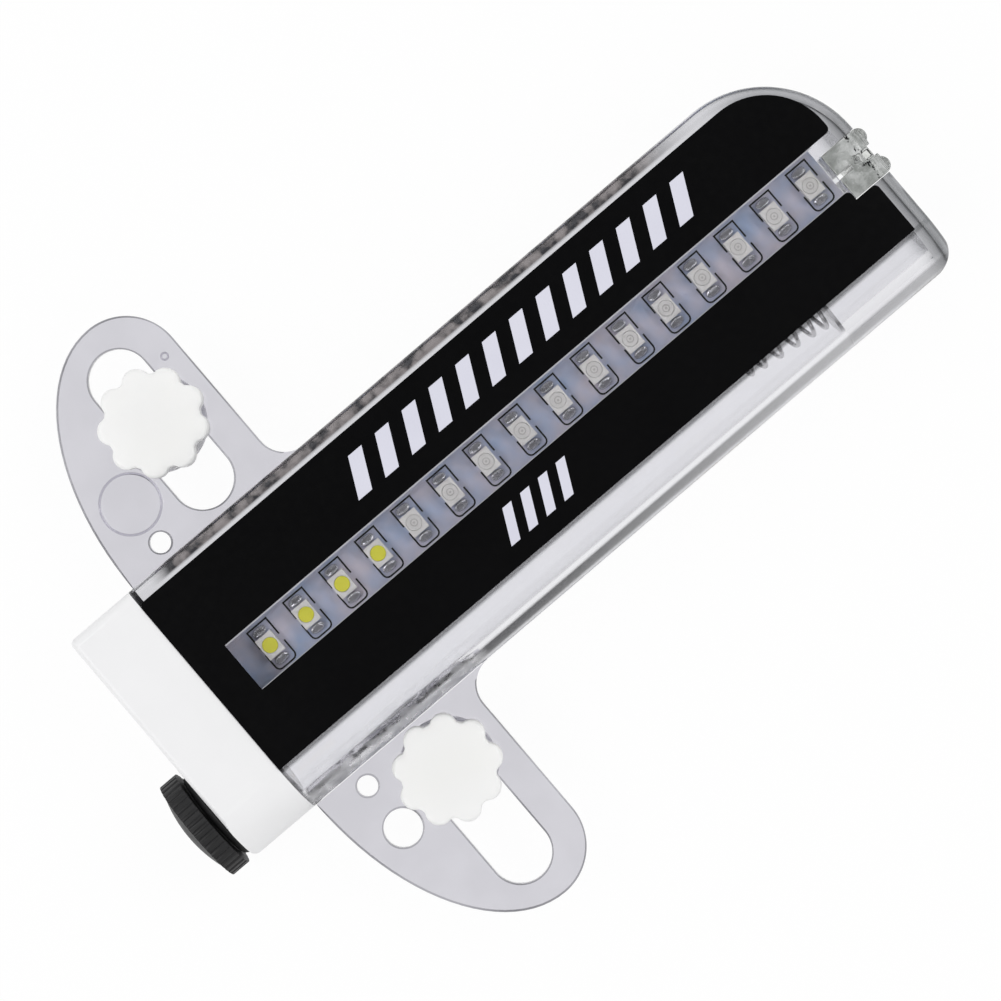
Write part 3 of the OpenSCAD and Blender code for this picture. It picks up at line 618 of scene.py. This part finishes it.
# %% [markdown]
# The case is one clear moulding, and its solid already has the rounded rims, so it only
# needs its finish. The wings are cut from flat plate and get a fine round along their
# edges, slots and holes too, but not at the root, where they run into the case. Those
# rounds get a hazier finish with a darker tint, which is painted shade that draws the
# outline of the plate. The tip plug is a small clear block that has gone soft all over.

# %% Clear pieces
wing_root_mm = 21.2
sides = ("upper", "lower")


def darken_edges(plate, finish):
    """Give the rounds along the edges of a level plate a second, darker finish: painted shade."""
    upright, level = 0.1, 0.98
    plate.data.materials.append(finish)
    for face in plate.data.polygons:
        if upright < abs(face.normal.z) < level and abs(face.center.y) > wing_root_mm * MM:
            face.material_index = 1


dress("case", clear_shell)
for side in sides:
    wing = softened(side + "_wing", clear_wing, "clear_wing", width_mm=0.2, inner_y_mm=wing_root_mm)
    # the rounds of each wing get the painted edge shade
    darken_edges(wing, painted_edge_shade)
relaxed("tip_plug", clear_tip, "clear_tip", cube_mm=0.12, passes=8)

# %% [markdown]
# The cap and the two clamps are white mouldings. The cap and the washers get fine
# rounds. The thumbscrews' lobes and the jaws' grooves meet in sharp creases in the solid,
# so these pieces are relaxed.

# %% White pieces
softened("end_cap", white_cap, "white_cap", width_mm=0.3)
for side in sides:
    relaxed(side + "_thumbscrew", white_knob, "white_knob", cube_mm=0.15, passes=14)
    relaxed(side + "_jaw", white_knob, "white_knob", cube_mm=0.15, passes=5)
    softened(side + "_washer", white_knob, "white_knob", width_mm=0.1)

# %% [markdown]
# The plug is black plastic with a knurled rim, and a rubber washer seals it against the
# cap. Both get fine rounds, so that each rib of the knurl has its own thin highlight.

# %% Black pieces
softened("battery_plug", black_plug, "black_plug", width_mm=0.1)
softened("plug_gasket", black_rubber, "black_rubber", width_mm=0.35, segments=3)

# %% [markdown]
# The film is cut to its outline, and the knife goes round four of its corners: one at the
# cap and three at the tip plug. They are the outward corners above the battery side.

# %% Film
def cut_corners():
    """The film with those corners rounded."""
    corner = 0.8 * MM
    battery_side_y = -10 * MM
    least_height = 0.1 * MM
    sharp = math.radians(60)
    mesh = own_copy("front_label")
    outward = [e for e in mesh.edges if e.is_convex and e.calc_face_angle() > sharp]
    upright = [e for e in outward if abs(e.verts[0].co.z - e.verts[1].co.z) > least_height]
    bmesh.ops.bevel(
        mesh, geom=[e for e in upright if e.verts[0].co.y > battery_side_y], offset=corner,
        offset_type="OFFSET", affect="EDGES", segments=5, profile=0.5, material=-1,
    )
    return mesh


piece("cut_label", cut_corners(), black_film, "light", "black_film", "front_label")

# %% [markdown]
# Behind the window lie the board, the lamps and their solder. A lamp body is a white
# moulding with a cup of resin, and solder runs up both of its ends. Solder sets in a
# smooth drop, so the slope of each wedge is raised in its middle, and the whole is
# shaken a little and subdivided.

# %% Board and lamps
dress("led_board", board)
softened("lamp_housings", lamp_white, "lamp_white", width_mm=0.12)
dress("white_lamp_fills", phosphor)
dress("colour_lamp_fills", clear_resin)


def solder_drops():
    """The wedges of solder as rounded drops, each a little different from the next."""
    chance = random.Random(4)
    unevenness = 0.06 * MM
    rim = 0.35 * MM
    bulge = 0.3 * MM
    steep, level = 0.5, 0.99
    subdivisions = 3
    mesh = own_copy("lamp_solder")
    slopes = [f for f in mesh.faces if steep < f.normal.z < level]
    bmesh.ops.inset_individual(mesh, faces=slopes, thickness=rim, depth=bulge)
    for vert in mesh.verts:
        vert.co += unevenness * Vector([chance.uniform(-1, 1) for axis in "xyz"])
    drops = piece("solder_drops", mesh, solder, "light", "solder", "lamp_solder")
    smooth = drops.modifiers.new("smooth", "SUBSURF")
    smooth.levels = subdivisions
    smooth.render_levels = subdivisions
    print("drops:", len(slopes))


solder_drops()

# %% [markdown]
# On the back of the board sit the chip that runs the patterns, a resistor per lamp and
# the switch that wakes the light. The contacts in the battery tube are sprung metal.

# %% Pieces behind the board and contacts
softened("controller_chip", chip_black, "chip_black", width_mm=0.15)
softened("chip_resistors", chip_black, "chip_black", width_mm=0.08)
softened("motion_switch", brass_can, "brass_can", width_mm=0.3, segments=3)
dress("chip_pins", solder)
dress("switch_leads", solder)
dress("spring_plate", spring_steel)
dress("positive_strip", brass_can)
dress("plug_contact", spring_steel)

# %% [markdown]
# The battery spring is a cone of steel wire whose turns lie closest at its two ends. A
# curve through points on that cone, with a round bevel, draws the wire as it is bent.
# The curve follows the same rule as the solid, and is made a mesh at the end.

# %% Battery spring
plate_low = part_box("spring_plate")[0]
spring_low, spring_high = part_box("battery_spring")
spring_turns = 6
spring_steps = 28
wire_r = 0.325 * MM
base_r = 3.725 * MM
end_r = 1.575 * MM
axis_y = -12 * MM
axis_z = 8.2 * MM
spring_travel = spring_high.x - spring_low.x - 2 * wire_r
even_pitch = 0.55
weld_distance = 0.001 * MM


def spring_point(share):
    """A point of the wire's middle, from the base at 0 to the free end at 1."""
    rise = even_pitch * share + (1 - even_pitch) * (3 * share ** 2 - 2 * share ** 3)
    turn = math.tau * spring_turns * share
    radius = base_r + (end_r - base_r) * share
    x = plate_low.x - wire_r - spring_travel * rise
    return (x, axis_y + radius * math.cos(turn), axis_z + radius * math.sin(turn))


def wire_mesh(points, radius):
    """A round wire through points, as a bmesh."""
    curve = bpy.data.curves.new("wire", "CURVE")
    curve.dimensions = "3D"
    curve.bevel_depth = radius
    curve.bevel_resolution = 3
    curve.use_fill_caps = True
    line = curve.splines.new("POLY")
    line.points.add(len(points) - 1)
    for spot, place in zip(line.points, points):
        spot.co = (*place, 1)
    holder = bpy.data.objects.new("wire", curve)
    bpy.context.scene.collection.objects.link(holder)
    view = bpy.context.evaluated_depsgraph_get()
    drawn = holder.evaluated_get(view).to_mesh()
    mesh = bmesh.new()
    mesh.from_mesh(drawn)
    bpy.data.objects.remove(holder)
    bmesh.ops.remove_doubles(mesh, verts=mesh.verts, dist=weld_distance)
    bmesh.ops.recalc_face_normals(mesh, faces=mesh.faces)
    return mesh


steps = spring_turns * spring_steps
wire = wire_mesh([spring_point(i / steps) for i in range(steps + 1)], wire_r)
piece("spring_wire", wire, spring_steel, "light", "spring_steel", "battery_spring")

# %% [markdown]
# The plug and the thumbscrews are screwed. A thread is a ridge that climbs round its
# stem, so the same wire, wound evenly and half sunk into the stem, makes it.

# %% Screw threads
thread_steps = 40
plug_reach = 9.6 * MM
stem_bare = 0.3 * MM


def thread(start, axis, radius, pitch, length, ridge):
    """A ridge wound round an axis along X or Z, from a point of that axis."""
    count = round(length / pitch * thread_steps)
    along = Vector((1, 0, 0)) if axis == "X" else Vector((0, 0, 1))
    points = []
    for i in range(count + 1):
        turn = math.tau * i / thread_steps
        out = Vector((0, math.cos(turn), math.sin(turn)))
        if axis == "Z":
            out = Vector((math.cos(turn), math.sin(turn), 0))
        points.append(start + radius * out + pitch * i / thread_steps * along)
    return wire_mesh(points, ridge)


mouth_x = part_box("case")[0].x
plug_start = Vector((mouth_x - plug_reach, axis_y, axis_z))
plug_thread = thread(
    plug_start, "X", radius=6.04 * MM, pitch=1.5 * MM, length=8.2 * MM, ridge=0.12 * MM,
)
piece("plug_thread", plug_thread, black_plug, "plug", "black_plug")
for side in sides:
    low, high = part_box(side + "_thumbscrew")
    stem_end = Vector(((low.x + high.x) / 2, (low.y + high.y) / 2, low.z + stem_bare))
    stem_thread = thread(
        stem_end, "Z", radius=3 * MM, pitch=1.05 * MM, length=5 * MM, ridge=0.1 * MM,
    )
    piece(side + "_stem_thread", stem_thread, white_knob, side + "_screw", "white_knob")

# %% [markdown]
# Around each lamp the board carries a printed frame of thin black lines, open at the
# middle of its sides. One flat face is inset to a thin ring, cut open, and extruded to
# the thickness of ink; the row then repeats it at the pitch of the lamps.

# %% Printed frames round the lamps
lamp_count = 16
lamps_low, lamps_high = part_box("lamp_housings")
board_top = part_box("led_board")[1].z
lamp_width = 2.8 * MM
lamp_pitch = (lamps_high.x - lamps_low.x - lamp_width) / (lamp_count - 1)
lamp_y = (lamps_low.y + lamps_high.y) / 2
first_lamp = Vector((lamps_low.x + lamp_width / 2, lamp_y, board_top))
frame_shift = Vector((0.2 * MM, -0.12 * MM, 0))
ink_height = 0.02 * MM


def joined(parts):
    """Several bmeshes as one."""
    whole = bmesh.new()
    for part in parts:
        data = bpy.data.meshes.new("part")
        part.to_mesh(data)
        part.free()
        whole.from_mesh(data)
        bpy.data.meshes.remove(data)
    return whole


def thicken(mesh, height):
    """Draw flat faces up by a height."""
    grown = bmesh.ops.extrude_face_region(mesh, geom=mesh.faces[:])
    raised = [v for v in grown["geom"] if isinstance(v, bmesh.types.BMVert)]
    bmesh.ops.translate(mesh, verts=raised, vec=(0, 0, height))
    bmesh.ops.recalc_face_normals(mesh, faces=mesh.faces)
    return mesh


def flat_rectangle(width, height):
    """One level face about the origin."""
    mesh = bmesh.new()
    bmesh.ops.create_grid(mesh, x_segments=1, y_segments=1, size=0.5)
    bmesh.ops.scale(mesh, verts=mesh.verts, vec=(width, height, 1))
    return mesh


def lamp_frame():
    """One printed frame, with its two lower corners rounded."""
    width = 3.75 * MM
    height = 7.35 * MM
    line = 0.26 * MM
    opening = 1.1 * MM
    corner = 0.9 * MM
    mesh = flat_rectangle(width, height)
    lower = [v for v in mesh.verts if v.co.y < 0]
    bmesh.ops.bevel(
        mesh, geom=lower, offset=corner, offset_type="OFFSET", affect="VERTICES",
        segments=4, profile=0.5, material=-1,
    )
    inner = bmesh.ops.inset_region(
        mesh, faces=mesh.faces[:], thickness=line, use_boundary=True, use_even_offset=True,
    )
    rim = set(inner["faces"])
    bmesh.ops.delete(mesh, geom=[f for f in mesh.faces if f not in rim], context="FACES")
    for cut_y in (-opening / 2, opening / 2):
        whole = mesh.verts[:] + mesh.edges[:] + mesh.faces[:]
        bmesh.ops.bisect_plane(mesh, geom=whole, plane_co=(0, cut_y, 0), plane_no=(0, 1, 0))
    middle = [f for f in mesh.faces if abs(f.calc_center_median().y) < opening / 2]
    bmesh.ops.delete(mesh, geom=middle, context="FACES")
    return thicken(mesh, ink_height)


frames = []
for i in range(lamp_count):
    frame_mesh = lamp_frame()
    place = first_lamp + Vector((i * lamp_pitch, 0, 0)) + frame_shift
    bmesh.ops.translate(frame_mesh, verts=frame_mesh.verts, vec=place)
    frames.append(frame_mesh)
piece("lamp_frames", joined(frames), black_ink, "light", "board")

# %% [markdown]
# In the clear lamps one sees the small chip that gives the light, in the middle of a
# bright ring. A ring is a small round section that the Spin operator turns once about an
# upright line, and the chip is a flat square with some thickness.

# %% Chips in the clear lamps
white_lamps = 4
fill_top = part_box("colour_lamp_fills")[1].z
chip_width = 0.3 * MM
chip_height = 0.05 * MM


def ring_mesh(middle, radius, width, height):
    """A ring with a flattened round section."""
    section_sides = 10
    ring_steps = 48
    mesh = bmesh.new()
    bmesh.ops.create_circle(mesh, segments=section_sides, radius=0.5)
    upright = Matrix.Rotation(math.pi / 2, 3, "X")
    bmesh.ops.rotate(mesh, verts=mesh.verts, cent=(0, 0, 0), matrix=upright)
    bmesh.ops.scale(mesh, verts=mesh.verts, vec=(width, 1, height))
    bmesh.ops.translate(mesh, verts=mesh.verts, vec=(radius, 0, 0))
    bmesh.ops.spin(
        mesh, geom=mesh.verts[:] + mesh.edges[:], cent=(0, 0, 0), axis=(0, 0, 1),
        angle=math.tau, steps=ring_steps, use_merge=True,
    )
    bmesh.ops.remove_doubles(mesh, verts=mesh.verts, dist=weld_distance)
    bmesh.ops.recalc_face_normals(mesh, faces=mesh.faces)
    bmesh.ops.translate(mesh, verts=mesh.verts, vec=middle)
    return mesh


chips = []
for i in range(white_lamps, lamp_count):
    middle = Vector((first_lamp.x + i * lamp_pitch, lamp_y, fill_top))
    chips.append(ring_mesh(middle, radius=0.5 * MM, width=0.16 * MM, height=0.08 * MM))
    chip = thicken(flat_rectangle(chip_width, chip_width), chip_height)
    bmesh.ops.translate(chip, verts=chip.verts, vec=middle)
    chips.append(chip)
piece("lamp_chips", joined(chips), grey_die, "light", "clear_resin")

# %% [markdown]
# The upper wing carries two moulded marks: a plain ring near the tie hole, and a small one
# where the plastic entered the mould. They lie just under the face of the plate, so that
# the washer of the clamp slides over them.

# %% Moulded marks
mark_depth = 0.12 * MM
mark_height = 0.16 * MM
mark_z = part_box("upper_wing")[1].z - mark_depth
big_middle = Vector((mouth_x + 7.9 * MM, 29.9 * MM, mark_z))
small_middle = Vector((mouth_x + 25.4 * MM, 42.9 * MM, mark_z))
big_ring = ring_mesh(big_middle, radius=4.45 * MM, width=0.4 * MM, height=mark_height)
small_ring = ring_mesh(small_middle, radius=0.5 * MM, width=0.3 * MM, height=mark_height)
piece("wing_marks", joined([big_ring, small_ring]), clear_wing, "light", "clear_wing")

# %% [markdown]
# The film carries a plain pale print: a long row of slanted bars above the window and a
# short row below it. Each bar is one flat face that is leaned over and given the
# thickness of ink.

# %% Printed bars on the label
label_low, label_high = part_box("front_label")
bar_share = 0.5
bar_lean = 0.5


def bar_row(start, stop, low, high, count):
    """A row of slanted bars between two lengths from the mouth of the case."""
    pitch = (stop - start) / count
    bars = []
    for i in range(count):
        bar = flat_rectangle(bar_share * pitch, high - low)
        for vert in bar.verts:
            vert.co.x += bar_lean * vert.co.y
        middle = (mouth_x + start + (i + 0.5) * pitch, (low + high) / 2, label_high.z)
        bmesh.ops.translate(bar, verts=bar.verts, vec=middle)
        bars.append(thicken(bar, ink_height))
    return bars


long_row = bar_row(start=33.6 * MM, stop=98.4 * MM, low=8.9 * MM, high=14.7 * MM, count=13)
short_row = bar_row(start=46.1 * MM, stop=59.3 * MM, low=-10.1 * MM, high=-5.1 * MM, count=4)
piece("label_print", joined(long_row + short_row), pale_ink, "light", "black_film")

# %% [markdown]
# The film is punched for the window, and its cut edge shows as a pale line along both
# long sides. The line is partly the film's own pale cut edge and partly a painted highlight:
# wider above, where it faces the light, and finer below.

# %% Cut edges of the window
window_low = -2.6 * MM
window_high = 5.6 * MM
window_start = mouth_x + 5.6 * MM
window_stop = mouth_x + 114.6 * MM
wide_line = 0.2 * MM
fine_line = 0.1 * MM
line_height = 0.05 * MM


def edge_line(y, width):
    """A thin strip as long as the window."""
    line = thicken(flat_rectangle(window_stop - window_start, width), line_height)
    middle = ((window_start + window_stop) / 2, y, label_low.z)
    bmesh.ops.translate(line, verts=line.verts, vec=middle)
    return line


# painted highlight: the upper cut edge faces the light, so its line is wider
upper_edge = edge_line(window_high - wide_line / 2, wide_line)
lower_edge = edge_line(window_low + fine_line / 2, fine_line)
piece("window_edges", joined([upper_edge, lower_edge]), cut_edge_and_highlight, "light", "black_film")

# %% [markdown]
# The studio is a white table under soft lamps. The table gives off part of its own white
# to what the camera, the plastic and the metal see, and the rest of it is lit, so that
# it keeps a faint shadow.

# %% White table
floor_size = 4
floor_gap = 0.05 * MM
floor_mesh = flat_rectangle(floor_size, floor_size)
floor_data = bpy.data.meshes.new("table")
floor_mesh.to_mesh(floor_data)
floor_mesh.free()
floor_data.transform(Matrix.Translation((0, 0, cad_box[0][2] - floor_gap)))
table = bpy.data.objects.new("table", floor_data)
bpy.context.scene.collection.objects.link(table)


def white_table():
    """White that is partly its own light, by the kind of ray that meets it."""
    for_camera, for_glossy, for_clear = 0.95, 0.6, 0.3
    finish = Finish("white_table")
    lit = finish.node("ShaderNodeBsdfDiffuse", {}, {"Color": (0.95, 0.95, 0.95, 1)})
    glow = finish.node("ShaderNodeEmission", {}, {"Color": (1, 1, 1, 1), "Strength": 1})
    share = for_camera * finish.ray("Camera") + for_glossy * finish.ray("Glossy")
    share = share + for_clear * finish.ray("Transmission")
    return finish.end(finish.either(share, lit, glow))


floor_data.materials.append(white_table())
print("table:", floor_size, "m wide")

# %% [markdown]
# The sky is bright half-way up and dim at the horizon, which gives the clear plastic its
# darker edges. It is dark overhead, where the camera would stand, so that the flat film
# stays black. Matt surfaces see a brighter horizon, and so the white cap is white on its
# round side too. The camera itself sees plain white. Two soft lamps add a little shape.

# %% Sky and lamps
horizon, half_way = 0.15, 0.5
overhead_edge = math.cos(math.radians(30))
overhead_middle = math.cos(math.radians(16))
overhead_loss = 0.92
rim_light, matt_light = 0.3, 0.45
sky_light = 0.8
world = bpy.data.worlds.new("studio")
bpy.context.scene.world = world
world.use_nodes = True
sky = Nodes(world.node_tree)
direction = sky.node("ShaderNodeTexCoord", output="Generated")
height = sky.node("ShaderNodeSeparateXYZ", {}, {"Vector": direction}, output="Z")
overhead = sky.spread(height, overhead_edge, overhead_middle)
above_rim = sky.spread(height, horizon, half_way)
rim = rim_light + matt_light * sky.ray("Diffuse")
brightness = (rim + (sky_light - rim) * above_rim) * (1 - overhead_loss * overhead)
strength = brightness.math("MAXIMUM", brightness, sky.ray("Camera"))
backdrop = sky.node("ShaderNodeBackground", {}, {"Color": (1, 1, 1, 1), "Strength": strength})
sky.node("ShaderNodeOutputWorld", {}, {"Surface": backdrop})


def soft_lamp(name, place, size, power):
    """A square soft lamp that faces the light."""
    lamp = bpy.data.lights.new(name, "AREA")
    lamp.shape = "SQUARE"
    lamp.size = size
    lamp.energy = power
    holder = bpy.data.objects.new(name, lamp)
    holder.location = place
    holder.rotation_euler = (-Vector(place)).to_track_quat("-Z", "Y").to_euler()
    bpy.context.scene.collection.objects.link(holder)
    print(name, power, "W")


soft_lamp("key_lamp", place=(-0.34, 0.12, 0.5), size=0.25, power=0.8)
soft_lamp("fill_lamp", place=(0.36, -0.1, 0.5), size=0.3, power=0.7)

# %% [markdown]
# The camera looks straight down from far enough away that the sides of the case hardly
# show, as in the picture. The light lies at a slant there, so the camera is turned: its
# upward direction is a direction in the plane of the table. The lens is chosen so that
# the picture is 143 mm wide near the height of the lamp face.

# %% Camera
camera_height = 0.62
picture_width = 143 * MM
face_z = 12 * MM
picture_middle = Vector((-4.05 * MM, -4.1 * MM))
picture_up = Vector((0.648, 0.7615, 0)).normalized()
picture_right = Vector((picture_up.y, -picture_up.x, 0))
eye = bpy.data.cameras.new("camera")
eye.sensor_width = 36
eye.lens = eye.sensor_width * (camera_height - face_z) / picture_width
eye.clip_start = 0.01
camera = bpy.data.objects.new("camera", eye)
axes = Matrix((picture_right, picture_up, Vector((0, 0, 1)))).transposed()
camera.matrix_world = Matrix.Translation((*picture_middle, camera_height)) @ axes.to_4x4()
bpy.context.scene.collection.objects.link(camera)
bpy.context.scene.camera = camera
bpy.context.scene.view_settings.view_transform = "Standard"
print("lens:", round(eye.lens, 1), "mm")
